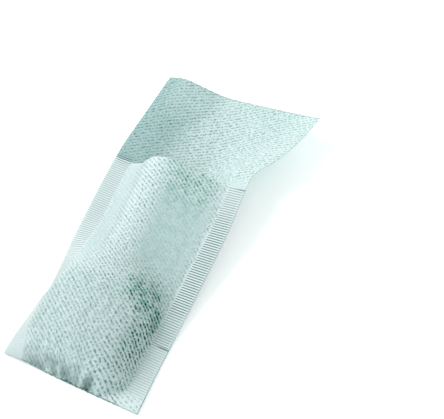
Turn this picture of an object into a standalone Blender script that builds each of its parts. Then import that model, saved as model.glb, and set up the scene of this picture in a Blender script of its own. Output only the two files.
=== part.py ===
# Paper tea filter bag, lying on its back panel with loose tea in the bottom.
# One sheet of filter paper is folded into a long back panel with a flap, a gusset tucked in
# at the bottom and a shorter front panel. Both long sides are crimped together.
# Metres, +Z up, +Y from the bottom fold towards the flap, +X to the bag's right.

import math

import bmesh
import bpy
import numpy as np
from mathutils import Vector

MM = 0.001

# The sheet
WIDTH = 76.0 * MM               # across the flat bag, over both seams
BACK_LENGTH = 166.0 * MM        # bottom fold to the free edge of the flap
FRONT_LENGTH = 112.0 * MM       # bottom fold to the lip of the mouth
GUSSET_DEPTH = 31.0 * MM        # bottom fold to the inner fold of the gusset
PAPER = 0.15 * MM               # thickness of one layer
LAYER_GAP = 0.06 * MM           # air between layers that lie on each other

# The crimped side seams
SEAM_WIDTH = 8.5 * MM
RIB_PITCH = 1.17 * MM
RIB_HEIGHT = 0.11 * MM          # how far a crest stands off the seam's middle
RIB_MARGIN = 1.0 * MM           # smooth strip between the panel and the ribs
STEP_LENGTH = 5.0 * MM          # run in which the seam thins from four layers to two

# How the filled bag lies
EDGE_LEFT_BOTTOM = -25.6 * MM   # left edge at the bottom fold, from the middle line
EDGE_LEFT_POCKET = -25.9 * MM   # the same beside the tea
EDGE_LEFT_WAIST = -31.3 * MM    # the same between the tea and the mouth
EDGE_LEFT_MOUTH = -37.0 * MM    # the same at the mouth
EDGE_LEFT_FLAP = -37.8 * MM     # the same along the flap
SEAM_RIGHT_BOTTOM = 27.7 * MM   # inner edge of the right seam at the bottom fold
SEAM_RIGHT_GUSSET = 24.9 * MM   # the same at the inner fold of the gusset
SEAM_RIGHT_BODY = 23.4 * MM     # the same half way up
SEAM_RIGHT_MOUTH = 20.4 * MM    # the same at the mouth, drawn in by the open front
SEAM_RIGHT_TOP = 31.3 * MM      # the same at the free edge of the flap
SEAM_LIFT = 12.0 * MM           # height of the right seam at the mouth
CORNER_LIFT = 9.8 * MM          # height of the right seam line at the free edge
LEFT_CORNER_LIFT = 3.6 * MM     # the same at the left corner
SEAM_REST = 0.42 * MM           # height of a seam that lies flat
SEAM_SLOPE_POCKET = 61.0        # degrees: lean of the left seam beside the tea
SEAM_SLOPE_MOUTH = 14.0         # degrees: tilt of the right seam at the mouth
SEAM_SLOPE_TOP = 15.0           # degrees: the same at the free edge of the flap
GUSSET_AIR = 0.35 * MM          # extra air between the gusset's legs in the seams' ends
POCKET_RISE = 11.4 * MM         # front panel above its seams over the tea
WAIST_RISE = 7.0 * MM           # the same between the tea and the mouth
MOUTH_RISE = 10.0 * MM          # the same at the lip
FOLD_RISE = 0.9 * MM            # the same at the bottom fold, where the gusset gapes
FLAP_WAVE = 2.4 * MM            # lift of the middle of the flap at its free edge
LENGTH_DRAWN_IN = 1.3 * MM      # how much the swelling shortens the bag

# The tea
TEA_LEFT = -24.5 * MM           # the tea's reach across and along the sheet
TEA_RIGHT = 25.0 * MM
TEA_START = 5.0 * MM
TEA_END = 49.0 * MM
TEA_CLEARANCE = 0.35 * MM       # air between the tea and the paper
TEA_LUMP = 0.5 * MM             # height of the lumps on its top
LUMP_ACROSS = 11.2 * MM         # length of one lump across and along the bag
LUMP_ALONG = 10.3 * MM

# Fineness of the mesh
PANEL_COLUMNS = 15              # columns of faces between the seams
PANEL_ROW = 4.3 * MM            # length of one row of faces
STEP_ROWS = 5                   # rows in which the seam thins above the gusset
TEA_SEGMENTS = 36
SHARP_ANGLE = 40.0              # degrees between faces that shade as a sharp edge

HALF = WIDTH / 2
INNER = HALF - SEAM_WIDTH
LAYER = PAPER + LAYER_GAP
RIBS_FROM = INNER + RIB_MARGIN
FLAP_LENGTH = BACK_LENGTH - FRONT_LENGTH

# Height of the front panel above the straight line between its seams. Each point is
# a share of the way from the left seam to the right one, and a share of the rise.
POCKET_SHAPE = [(0.0, 0.0), (0.03, 0.26), (0.12, 0.56), (0.28, 0.83), (0.50, 1.0),
                (0.73, 0.94), (0.87, 0.69), (0.95, 0.31), (1.0, 0.0)]
MOUTH_SHAPE = [(0.0, 0.0), (0.08, 0.19), (0.16, 0.46), (0.23, 0.80), (0.34, 1.0),
               (0.475, 0.92), (0.66, 0.57), (0.85, 0.24), (1.0, 0.0)]


def ease(start, end, value):
    """A smooth step from 0 at start to 1 at end."""
    t = min(max((value - start) / (end - start), 0.0), 1.0)
    return t * t * (3 - 2 * t)


def through(stops, value):
    """A smooth curve through (position, amount) stops that never overshoots them."""
    at, amount = np.array(stops).T
    rise = np.diff(amount) / np.diff(at)
    slope = np.concatenate([[rise[0]], np.zeros(len(stops) - 2), [rise[-1]]])
    for i in range(1, len(stops) - 1):
        if rise[i - 1] * rise[i] > 0:
            slope[i] = 2 * rise[i - 1] * rise[i] / (rise[i - 1] + rise[i])
    value = min(max(value, at[0]), at[-1])
    i = min(int(np.searchsorted(at, value, side="right")) - 1, len(rise) - 1)
    width = at[i + 1] - at[i]
    t = (value - at[i]) / width
    start = (1 + 2 * t) * (1 - t) ** 2 * amount[i] + t * (1 - t) ** 2 * width * slope[i]
    end = t * t * (3 - 2 * t) * amount[i + 1] - t * t * (1 - t) * width * slope[i + 1]
    return start + end


def glide(points, count):
    """Points along a curve that passes smoothly through every given point."""
    p = np.array(points)
    p = np.vstack([2 * p[0] - p[1], p, 2 * p[-1] - p[-2]])
    curve = []
    for i in range(1, len(p) - 2):
        t = np.linspace(0, 1, count, endpoint=False)[:, None]
        a, b, c, d = p[i - 1], p[i], p[i + 1], p[i + 2]
        curve.append(0.5 * (2 * b + (c - a) * t + (2 * a - 5 * b + 4 * c - d) * t ** 2
                            + (3 * b - a - 3 * c + d) * t ** 3))
    return np.vstack(curve + [p[-2:-1]])


def left_lean(v):
    """Slope at which the left seam leans down from the pocket to the table."""
    stops = [(0.0, 0.14), (0.05 * FRONT_LENGTH, 0.54), (0.15 * FRONT_LENGTH, 0.93),
             (0.32 * FRONT_LENGTH, 1.0), (0.42 * FRONT_LENGTH, 0.82), (0.52 * FRONT_LENGTH, 0.49),
             (0.61 * FRONT_LENGTH, 0.21), (0.72 * FRONT_LENGTH, 0.0), (BACK_LENGTH, 0.0)]
    return math.radians(SEAM_SLOPE_POCKET * through(stops, v))


def left_seam(v):
    """Outer and inner edge of the left seam, each across and up."""
    stops = [(0.0, EDGE_LEFT_BOTTOM), (0.13 * FRONT_LENGTH, EDGE_LEFT_POCKET),
             (0.28 * FRONT_LENGTH, EDGE_LEFT_POCKET), (0.60 * FRONT_LENGTH, EDGE_LEFT_WAIST),
             (FRONT_LENGTH, EDGE_LEFT_MOUTH), (1.12 * FRONT_LENGTH, EDGE_LEFT_FLAP),
             (BACK_LENGTH, EDGE_LEFT_FLAP)]
    lift = (LEFT_CORNER_LIFT - SEAM_REST) * ease(FRONT_LENGTH, BACK_LENGTH, v) ** 1.5
    x, z = through(stops, v), SEAM_REST + 0.3 * lift
    rise = SEAM_WIDTH * math.sin(left_lean(v)) + 0.7 * lift
    return (x, z), (x + math.sqrt(SEAM_WIDTH ** 2 - rise ** 2), z + rise)


def right_seam(v):
    """Inner and outer edge of the right seam, each across and up."""
    drawn_in, spread = SEAM_RIGHT_MOUTH - SEAM_RIGHT_BODY, SEAM_RIGHT_TOP - SEAM_RIGHT_MOUTH
    x = through([(0.0, SEAM_RIGHT_BOTTOM), (GUSSET_DEPTH, SEAM_RIGHT_GUSSET),
                 (0.60 * FRONT_LENGTH, SEAM_RIGHT_BODY),
                 (0.80 * FRONT_LENGTH, SEAM_RIGHT_BODY + 0.28 * drawn_in),
                 (FRONT_LENGTH, SEAM_RIGHT_MOUTH),
                 (FRONT_LENGTH + 0.14 * FLAP_LENGTH, SEAM_RIGHT_MOUTH - 0.06 * spread),
                 (FRONT_LENGTH + 0.44 * FLAP_LENGTH, SEAM_RIGHT_MOUTH + 0.50 * spread),
                 (FRONT_LENGTH + 0.78 * FLAP_LENGTH, SEAM_RIGHT_MOUTH + 0.86 * spread),
                 (BACK_LENGTH, SEAM_RIGHT_TOP)], v)
    climb = min(max((v - GUSSET_DEPTH) / (FRONT_LENGTH - GUSSET_DEPTH), 0.0), 1.0)
    z = SEAM_REST + (SEAM_LIFT - SEAM_REST) * climb ** 1.25
    z += (CORNER_LIFT - SEAM_LIFT) * ease(FRONT_LENGTH, BACK_LENGTH, v)
    tilt = math.radians(through([(GUSSET_DEPTH, 0.0), (FRONT_LENGTH, SEAM_SLOPE_MOUTH),
                                 (BACK_LENGTH, SEAM_SLOPE_TOP)], v))
    return (x, z), (x + SEAM_WIDTH * math.cos(tilt), z + SEAM_WIDTH * math.sin(tilt))


def raised(edges, height):
    """A seam's two edges moved square to the seam."""
    (x0, z0), (x1, z1) = edges
    nx, nz = (z0 - z1) / SEAM_WIDTH, (x1 - x0) / SEAM_WIDTH
    return (x0 + nx * height, z0 + nz * height), (x1 + nx * height, z1 + nz * height)


def front_points(v, left, right):
    """Cross-section of the front panel between the inner edges of its seams."""
    (lx, lz), (rx, rz) = left, right
    rise = through([(0.0, FOLD_RISE), (0.04 * FRONT_LENGTH, 0.42 * POCKET_RISE),
                    (0.09 * FRONT_LENGTH, 0.76 * POCKET_RISE), (0.15 * FRONT_LENGTH, 0.94 * POCKET_RISE),
                    (0.26 * FRONT_LENGTH, POCKET_RISE),
                    (0.38 * FRONT_LENGTH, 0.99 * POCKET_RISE), (0.56 * FRONT_LENGTH, WAIST_RISE),
                    (0.80 * FRONT_LENGTH, 0.5 * (WAIST_RISE + MOUTH_RISE)), (FRONT_LENGTH, MOUTH_RISE)], v)
    blend = ease(0.30 * FRONT_LENGTH, 0.66 * FRONT_LENGTH, v)
    points = []
    for (q0, h0), (q1, h1) in zip(POCKET_SHAPE, MOUTH_SHAPE):
        q, h = q0 + (q1 - q0) * blend, h0 + (h1 - h0) * blend
        points.append((lx + (rx - lx) * q, lz + (rz - lz) * q + rise * h))
    return glide(points, 8)


def back_points(v, left, right):
    """Cross-section of the back panel: on the table except near the seams."""
    (lx, lz), (rx, rz) = left, right
    free = ease(FRONT_LENGTH, BACK_LENGTH, v)
    reach = 0.36 + 0.26 * free
    points = []
    for q in np.linspace(0.0, 1.0, 41):
        fall = 1 - ease(0.0, 0.42, q)
        climb = max((q - 1 + reach) / reach, 0.0) ** (1.9 - 0.4 * free)
        z = PAPER / 2 + (lz - PAPER / 2) * fall + (rz - PAPER / 2) * climb
        z += FLAP_WAVE * free * ease(0.1, 0.5, q) * (1 - climb)
        points.append((lx + (rx - lx) * q, z))
    return np.array(points)


class Section:
    """One cross-section of a layer, found by how far across the sheet a point is."""

    def __init__(self, left, points, right):
        steps = np.hypot(*np.diff(points, axis=0).T)
        run = np.concatenate([[0.0], np.cumsum(steps)])
        across = -INNER + 2 * INNER * run / run[-1]
        self.u = np.concatenate([[-HALF], across, [HALF]])
        self.x = np.concatenate([[left[0]], points[:, 0], [right[0]]])
        self.z = np.concatenate([[left[1]], points[:, 1], [right[1]]])

    def at(self, u):
        return np.array([np.interp(u, self.u, self.x), np.interp(u, self.u, self.z)])

    def normal(self, u, reach=0.4 * MM):
        """Square to the layer. On a seam and its inner edge it is square to the seam."""
        low, high = -INNER, INNER
        if abs(u) > INNER - 1e-6:
            low, high = sorted((math.copysign(INNER, u), math.copysign(HALF, u)))
        a = self.at(max(u - reach, low))
        b = self.at(min(u + reach, high))
        t = (b - a) / np.hypot(*(b - a))
        return np.array([-t[1], t[0]])

    def lifted(self, u, height):
        return self.at(u) + self.normal(u) * height


SECTIONS = {}


def section(layer, v):
    """The cross-section of the front or the back panel at v."""
    key = (layer, round(v, 7))
    if key not in SECTIONS:
        stack = seam_stack(v) if layer == "front" else 0.0
        outer_left, inner_left = raised(left_seam(v), stack)
        inner_right, outer_right = raised(right_seam(v), stack)
        shape = front_points if layer == "front" else back_points
        SECTIONS[key] = Section(outer_left, shape(v, inner_left, inner_right), outer_right)
    return SECTIONS[key]


def leg_split(v):
    """Air between the two legs of the gusset at the seams, wider towards the bottom fold."""
    return LAYER + GUSSET_AIR * (1 - ease(0.0, GUSSET_DEPTH, v))


def seam_stack(v):
    """Distance between the back and the front layer in the seams."""
    three = 2 * LAYER + leg_split(min(v, GUSSET_DEPTH))
    return three + (LAYER - three) * ease(GUSSET_DEPTH, GUSSET_DEPTH + STEP_LENGTH, v)


def place(u, v, level):
    """Where a point of the sheet lies. Levels 0 to 7 are the faces of its four layers."""
    back = section("back", v)
    if level <= 3:
        offset = 0.0 if level <= 1 else LAYER
        side = -PAPER / 2 if level in (0, 2) else PAPER / 2
        return back.lifted(u, offset + side)
    side = -PAPER / 2 if level in (4, 6) else PAPER / 2
    if level >= 6:
        return section("front", v).lifted(u, side)
    lower_lip = section("back", 0.0).lifted(u, LAYER + leg_split(0.0) + side)
    upper_lip = section("front", 0.0).lifted(u, side - LAYER)
    gape = (upper_lip - lower_lip) * (1 - ease(0.0, GUSSET_DEPTH, v))
    return back.lifted(u, LAYER + leg_split(v) + side) + gape


def along(v):
    """Distance from the bottom fold, after the swelling has drawn the bag in."""
    return v - LENGTH_DRAWN_IN * min(v / FRONT_LENGTH, 1.0) ** 2


def main_collection(name):
    collection = bpy.data.collections.new(name)
    bpy.context.scene.collection.children.link(collection)
    return collection


def box(name, low, high, collection):
    """A cube stretched between two corners."""
    low, high = Vector(low), Vector(high)
    bpy.ops.mesh.primitive_cube_add(size=1.0)
    item = bpy.context.active_object
    item.name = name
    for vertex in item.data.vertices:
        vertex.co = [low[i] + (high[i] - low[i]) * (vertex.co[i] + 0.5) for i in range(3)]
    for owner in list(item.users_collection):
        owner.objects.unlink(item)
    collection.objects.link(item)
    return item


def flat_blank(parts, guides):
    """The folded sheet before it is shaped: across, along, and one step up for each layer face."""
    step = MM
    over = 2 * MM
    wide = HALF + over
    blank = box("blank", (-HALF, 0, 0), (HALF, BACK_LENGTH, 7 * step), parts)
    cuts = [
        ("above_flap", (-wide, FRONT_LENGTH, step), (wide, BACK_LENGTH + over, 9 * step)),
        ("inside", (-INNER, GUSSET_DEPTH, step), (INNER, FRONT_LENGTH + over, 6 * step)),
        ("behind_gusset", (-INNER, PAPER, step), (INNER, GUSSET_DEPTH + PAPER, 2 * step)),
        ("before_gusset", (-INNER, PAPER, 5 * step), (INNER, GUSSET_DEPTH + PAPER, 6 * step)),
        ("gusset_mouth", (-wide, -over, 3 * step), (wide, GUSSET_DEPTH - PAPER, 4 * step)),
    ]
    for name, low, high in cuts:
        cutter = box(name, low, high, guides)
        cutter.hide_render = True
        cutter.display_type = "WIRE"
        cut = blank.modifiers.new(name, "BOOLEAN")
        cut.operation = "DIFFERENCE"
        cut.solver = "EXACT"
        cut.object = cutter
    shape = bpy.data.meshes.new_from_object(blank.evaluated_get(bpy.context.evaluated_depsgraph_get()))
    bpy.data.objects.remove(blank)
    return shape, step


def slice_grid(bm, axis, places, keep=None):
    """Cuts edges across the faces at each place along an axis."""
    normal = Vector((0, 0, 0))
    normal[axis] = 1.0
    for place_at in places:
        faces = [f for f in bm.faces if keep is None or keep(f)]
        geometry = faces + list({e for f in faces for e in f.edges}) + list({v for f in faces for v in f.verts})
        bmesh.ops.bisect_plane(bm, geom=geometry, dist=1e-7, plane_co=normal * place_at, plane_no=normal)


def rib_wave(u, v, level):
    """Height of the crimp: crests and valleys in turn, on the outer faces of the seams only."""
    if level not in (0, 7) or abs(u) < RIBS_FROM - 1e-7:
        return 0.0
    step = round(v / (RIB_PITCH / 2))
    if step < 1 or v > FRONT_LENGTH - RIB_PITCH / 4:
        return 0.0
    return RIB_HEIGHT * (1 if step % 2 else -1)


def make_bag(collection, guides, paint):
    """Slices the flat blank finely, then moves every point to where the sheet lies."""
    shape, step = flat_blank(collection, guides)
    bm = bmesh.new()
    bm.from_mesh(shape)
    bpy.data.meshes.remove(shape)
    bmesh.ops.remove_doubles(bm, verts=bm.verts, dist=1e-6)
    slice_grid(bm, 0, np.append(np.linspace(-INNER, INNER, PANEL_COLUMNS + 1), (-RIBS_FROM, RIBS_FROM)))
    rows = [2 * PAPER] + [share * PANEL_ROW for share in (0.28, 0.56, 0.79, 1.27, 1.54, 1.8)]
    for start, end in ((0, GUSSET_DEPTH), (GUSSET_DEPTH, FRONT_LENGTH), (FRONT_LENGTH, BACK_LENGTH)):
        rows.extend(np.linspace(start, end, round((end - start) / PANEL_ROW) + 1)[1:])
    rows.extend(GUSSET_DEPTH + STEP_LENGTH * np.linspace(0, 1, STEP_ROWS + 1)[1:])
    slice_grid(bm, 1, [row for row in rows if row < BACK_LENGTH])

    def on_seam(face):
        centre = face.calc_center_median()
        if abs(centre.x) < RIBS_FROM or centre.y > FRONT_LENGTH:
            return False
        return abs(centre.x) > HALF - 1e-6 or not step * 0.5 < centre.z < step * 6.5

    ribs = np.arange(1, round(FRONT_LENGTH / (RIB_PITCH / 2))) * RIB_PITCH / 2
    slice_grid(bm, 1, ribs, on_seam)
    for vertex in bm.verts:
        u, v, level = vertex.co.x, vertex.co.y, round(vertex.co.z / step)
        x, z = place(u, v, level)
        wave = rib_wave(u, v, level)
        if wave:
            n = section("front" if level == 7 else "back", v).normal(u)
            x, z = x + n[0] * wave, z + n[1] * wave
        vertex.co = (x, along(v), z)
    bmesh.ops.recalc_face_normals(bm, faces=bm.faces)
    bmesh.ops.triangulate(bm, faces=bm.faces)
    return new_object("filter_bag", bm, collection, paint)


def new_object(name, bm, collection, paint):
    mesh = bpy.data.meshes.new(name)
    bm.to_mesh(mesh)
    bm.free()
    mesh.materials.append(paint)
    mesh.shade_smooth()
    mesh.set_sharp_from_angle(angle=math.radians(SHARP_ANGLE))
    item = bpy.data.objects.new(name, mesh)
    collection.objects.link(item)
    return item


def tea_floor(u, v):
    """The face the tea lies on: the gusset, then the back panel."""
    if v <= GUSSET_DEPTH:
        return place(u, v, 5)
    step_down = (LAYER + leg_split(GUSSET_DEPTH)) * (1 - ease(GUSSET_DEPTH, GUSSET_DEPTH + STEP_LENGTH, v))
    return section("back", v).lifted(u, PAPER / 2 + step_down)


def make_tea(collection, paint):
    """The heap: a sphere spread between the gusset below and the front panel above."""
    bm = bmesh.new()
    bmesh.ops.create_uvsphere(bm, u_segments=TEA_SEGMENTS, v_segments=TEA_SEGMENTS // 2, radius=1.0)
    middle_u, half_u = (TEA_LEFT + TEA_RIGHT) / 2, (TEA_RIGHT - TEA_LEFT) / 2
    middle_v, half_v = (TEA_START + TEA_END) / 2, (TEA_END - TEA_START) / 2
    for vertex in bm.verts:
        p, q, r = vertex.co
        spread = max(abs(p), abs(q)) / max(math.hypot(p, q), 1e-6)
        round_square = 1 + 0.5 * (1 / max(spread, 0.71) - 1)
        u, v = middle_u + half_u * p * round_square, middle_v + half_v * q * round_square
        low, high = tea_floor(u, v), place(u, v, 6)
        room = np.hypot(*(high - low))
        low = low + (high - low) * min(TEA_CLEARANCE / room, 0.45)
        fill = max(room - 2.2 * TEA_CLEARANCE, 0.0) / room
        spot = low + (high - low) * fill * max(r, 0.0) ** 0.38
        if r > 0.2:
            waves = math.sin(math.tau * u / LUMP_ACROSS + 3) * math.sin(math.tau * v / LUMP_ALONG)
            spot = spot + (high - low) / room * TEA_LUMP * (waves - 1) * r
        vertex.co = (spot[0], along(v), spot[1])
    bmesh.ops.recalc_face_normals(bm, faces=bm.faces)
    bmesh.ops.triangulate(bm, faces=bm.faces)
    return new_object("tea_leaves", bm, collection, paint)


def finish(name, colour, roughness):
    material = bpy.data.materials.new(name)
    material.use_nodes = True
    shader = material.node_tree.nodes["Principled BSDF"]
    shader.inputs["Base Color"].default_value = (*colour, 1.0)
    shader.inputs["Roughness"].default_value = roughness
    shader.inputs["Metallic"].default_value = 0.0
    return material


def centre_on_base(items):
    """Puts the origin under the middle of the whole bag, at table height."""
    corners = np.array([v.co[:] for item in items for v in item.data.vertices])
    low, high = corners.min(axis=0), corners.max(axis=0)
    shift = Vector((-(low[0] + high[0]) / 2, -(low[1] + high[1]) / 2, -low[2]))
    for item in items:
        for vertex in item.data.vertices:
            vertex.co += shift


def build():
    for item in list(bpy.data.objects):
        bpy.data.objects.remove(item)
    collection = main_collection("tea_filter_bag")
    guides = main_collection("cutters")
    paper = finish("filter_paper", (0.60, 0.76, 0.76), 0.85)
    tea = finish("black_tea", (0.055, 0.03, 0.02), 0.9)
    items = [make_bag(collection, guides, paper), make_tea(collection, tea)]
    centre_on_base(items)


build()
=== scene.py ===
# %% [markdown]
# # A paper tea filter bag
# The real object is one strip of filter paper, folded so that it has a long back with a flap,
# a gusset tucked in at the bottom and a shorter front. Both long sides are crimped together.
# It lies on its back with loose tea in the bottom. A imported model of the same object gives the
# size and the place of everything here, so it is loaded first and its box is kept.

import math
import random

import bmesh
import bpy
import numpy as np
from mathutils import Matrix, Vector, noise


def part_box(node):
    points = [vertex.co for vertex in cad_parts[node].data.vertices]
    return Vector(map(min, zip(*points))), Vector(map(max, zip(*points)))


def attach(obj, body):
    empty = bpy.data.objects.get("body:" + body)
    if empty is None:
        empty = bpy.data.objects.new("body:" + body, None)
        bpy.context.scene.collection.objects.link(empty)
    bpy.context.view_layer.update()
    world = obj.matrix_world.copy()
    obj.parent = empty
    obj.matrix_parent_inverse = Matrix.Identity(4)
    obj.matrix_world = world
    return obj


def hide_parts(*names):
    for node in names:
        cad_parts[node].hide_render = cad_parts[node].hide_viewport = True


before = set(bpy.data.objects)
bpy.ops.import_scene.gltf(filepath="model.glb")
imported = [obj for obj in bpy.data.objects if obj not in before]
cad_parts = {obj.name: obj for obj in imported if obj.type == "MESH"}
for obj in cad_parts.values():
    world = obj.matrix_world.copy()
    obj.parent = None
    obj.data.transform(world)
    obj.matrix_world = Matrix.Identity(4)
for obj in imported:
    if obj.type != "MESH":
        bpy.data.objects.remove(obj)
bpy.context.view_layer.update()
print("packed nodes:", sorted(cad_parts))

# %% [markdown]
# ## Sizes
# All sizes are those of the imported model, in millimetres, because paper is easier to think about
# that way. A point becomes metres when it is placed. The strip is described by two flat
# coordinates: u across it and v along each panel, counted from the bottom fold.

# %% Sizes of the paper
MM = 0.001
WIDTH, SEAM_WIDTH = 76.0, 8.5
BACK_LENGTH, FRONT_LENGTH, GUSSET_DEPTH = 166.0, 112.0, 31.0
PAPER, LAYER_GAP = 0.15, 0.06
HALF, INNER = WIDTH / 2, WIDTH / 2 - SEAM_WIDTH
LAYER = PAPER + LAYER_GAP
FLAP_LENGTH = BACK_LENGTH - FRONT_LENGTH
SHEET_LENGTH = BACK_LENGTH + 2 * GUSSET_DEPTH + FRONT_LENGTH
print("flat strip:", WIDTH, "x", SHEET_LENGTH, "mm")

# %% How the filled bag lies
EDGE_LEFT = {"bottom": -25.6, "pocket": -25.9, "waist": -31.3, "mouth": -37.0, "flap": -37.8}
SEAM_RIGHT = {"bottom": 27.7, "gusset": 24.9, "body": 23.4, "mouth": 20.4, "top": 31.3}
SEAM_LIFT, CORNER_LIFT, LEFT_CORNER_LIFT, SEAM_REST = 12.0, 9.8, 3.6, 0.42
SLOPE_POCKET, SLOPE_MOUTH, SLOPE_TOP = 61.0, 14.0, 15.0
GUSSET_AIR, STEP_LENGTH = 0.35, 5.0
POCKET_RISE, WAIST_RISE, MOUTH_RISE, FOLD_RISE = 11.4, 7.0, 10.0, 0.9
FLAP_WAVE, LENGTH_DRAWN_IN = 2.4, 1.3
POCKET_SHAPE = [(0.0, 0.0), (0.03, 0.26), (0.12, 0.56), (0.28, 0.83), (0.50, 1.0),
                (0.73, 0.94), (0.87, 0.69), (0.95, 0.31), (1.0, 0.0)]
MOUTH_SHAPE = [(0.0, 0.0), (0.08, 0.19), (0.16, 0.46), (0.23, 0.80), (0.34, 1.0),
               (0.475, 0.92), (0.66, 0.57), (0.85, 0.24), (1.0, 0.0)]
print("the paper rises over tea, waist and mouth:", POCKET_RISE, WAIST_RISE, MOUTH_RISE, "mm")

# %% [markdown]
# ## Curves
# Everything soft here is a smooth curve through a few measured stops. One kind never overshoots
# its stops and suits edges and heights. The other glides through points in a plane and suits the
# cross-section of a swollen panel.


# %% Curve helpers
def ease(start, end, value):
    """A smooth step from 0 at start to 1 at end."""
    t = np.clip((value - start) / (end - start), 0.0, 1.0)
    return t * t * (3 - 2 * t)


def through(stops, value):
    """A smooth curve through (position, amount) stops that never overshoots them."""
    at, amount = np.array(stops).T
    rise = np.diff(amount) / np.diff(at)
    slope = np.concatenate([[rise[0]], np.zeros(len(stops) - 2), [rise[-1]]])
    for i in range(1, len(stops) - 1):
        if rise[i - 1] * rise[i] > 0:
            slope[i] = 2 * rise[i - 1] * rise[i] / (rise[i - 1] + rise[i])
    value = min(max(value, at[0]), at[-1])
    i = min(int(np.searchsorted(at, value, side="right")) - 1, len(rise) - 1)
    width = at[i + 1] - at[i]
    t = (value - at[i]) / width
    start = (1 + 2 * t) * (1 - t) ** 2 * amount[i] + t * (1 - t) ** 2 * width * slope[i]
    end = t * t * (3 - 2 * t) * amount[i + 1] - t * t * (1 - t) * width * slope[i + 1]
    return start + end


def glide(points, count):
    """Points along a curve that passes smoothly through every given point."""
    p = np.array(points)
    p = np.vstack([2 * p[0] - p[1], p, 2 * p[-1] - p[-2]])
    t = np.linspace(0, 1, count, endpoint=False)[:, None]
    curve = [0.5 * (2 * b + (c - a) * t + (2 * a - 5 * b + 4 * c - d) * t ** 2
                    + (3 * b - a - 3 * c + d) * t ** 3)
             for a, b, c, d in zip(p, p[1:], p[2:], p[3:])]
    return np.vstack(curve + [p[-2:-1]])


# %% [markdown]
# ## The two seams
# The seams are the stiff parts of the bag, so they are placed first. The left one leans down from
# the full pocket to the table. The right one lies flat beside the tea, then climbs towards the
# mouth. Each gives an outer and an inner edge for every distance v from the bottom fold.


# %% Seam edges
def left_seam(v):
    """Outer and inner edge of the left seam."""
    x = through([(0.0, EDGE_LEFT["bottom"]), (0.13 * FRONT_LENGTH, EDGE_LEFT["pocket"]),
                 (0.28 * FRONT_LENGTH, EDGE_LEFT["pocket"]), (0.60 * FRONT_LENGTH, EDGE_LEFT["waist"]),
                 (FRONT_LENGTH, EDGE_LEFT["mouth"]), (1.12 * FRONT_LENGTH, EDGE_LEFT["flap"]),
                 (BACK_LENGTH, EDGE_LEFT["flap"])], v)
    lean = through([(0.0, 0.14), (0.05 * FRONT_LENGTH, 0.54), (0.15 * FRONT_LENGTH, 0.93),
                    (0.32 * FRONT_LENGTH, 1.0), (0.42 * FRONT_LENGTH, 0.82),
                    (0.52 * FRONT_LENGTH, 0.49), (0.61 * FRONT_LENGTH, 0.21),
                    (0.72 * FRONT_LENGTH, 0.0), (BACK_LENGTH, 0.0)], v)
    lift = (LEFT_CORNER_LIFT - SEAM_REST) * ease(FRONT_LENGTH, BACK_LENGTH, v) ** 1.5
    rise = SEAM_WIDTH * math.sin(math.radians(SLOPE_POCKET * lean)) + 0.7 * lift
    z = SEAM_REST + 0.3 * lift
    return (x, z), (x + math.sqrt(SEAM_WIDTH ** 2 - rise ** 2), z + rise)


def right_seam(v):
    """Inner and outer edge of the right seam."""
    drawn_in = SEAM_RIGHT["mouth"] - SEAM_RIGHT["body"]
    spread = SEAM_RIGHT["top"] - SEAM_RIGHT["mouth"]
    x = through([(0.0, SEAM_RIGHT["bottom"]), (GUSSET_DEPTH, SEAM_RIGHT["gusset"]),
                 (0.60 * FRONT_LENGTH, SEAM_RIGHT["body"]),
                 (0.80 * FRONT_LENGTH, SEAM_RIGHT["body"] + 0.28 * drawn_in),
                 (FRONT_LENGTH, SEAM_RIGHT["mouth"]),
                 (FRONT_LENGTH + 0.14 * FLAP_LENGTH, SEAM_RIGHT["mouth"] - 0.06 * spread),
                 (FRONT_LENGTH + 0.44 * FLAP_LENGTH, SEAM_RIGHT["mouth"] + 0.50 * spread),
                 (FRONT_LENGTH + 0.78 * FLAP_LENGTH, SEAM_RIGHT["mouth"] + 0.86 * spread),
                 (BACK_LENGTH, SEAM_RIGHT["top"])], v)
    climb = min(max((v - GUSSET_DEPTH) / (FRONT_LENGTH - GUSSET_DEPTH), 0.0), 1.0)
    z = SEAM_REST + (SEAM_LIFT - SEAM_REST) * climb ** 1.25
    z += (CORNER_LIFT - SEAM_LIFT) * ease(FRONT_LENGTH, BACK_LENGTH, v)
    tilt = math.radians(through([(GUSSET_DEPTH, 0.0), (FRONT_LENGTH, SLOPE_MOUTH),
                                 (BACK_LENGTH, SLOPE_TOP)], v))
    return (x, z), (x + SEAM_WIDTH * math.cos(tilt), z + SEAM_WIDTH * math.sin(tilt))


def raised(edges, height):
    """A seam's two edges moved square to the seam."""
    (x0, z0), (x1, z1) = edges
    nx, nz = (z0 - z1) / SEAM_WIDTH, (x1 - x0) / SEAM_WIDTH
    return (x0 + nx * height, z0 + nz * height), (x1 + nx * height, z1 + nz * height)


print("outer edge of the right seam at the mouth: x %.1f, z %.1f mm" % right_seam(FRONT_LENGTH)[1])

# %% [markdown]
# ## Cross-sections
# A cross-section is the line in which a plane across the bag cuts one panel. The front swells over
# the tea, sinks at the waist and opens at the mouth. The back lies on the table in its middle.
# Points are found by arc length, so the paper bends but hardly stretches.


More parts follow.
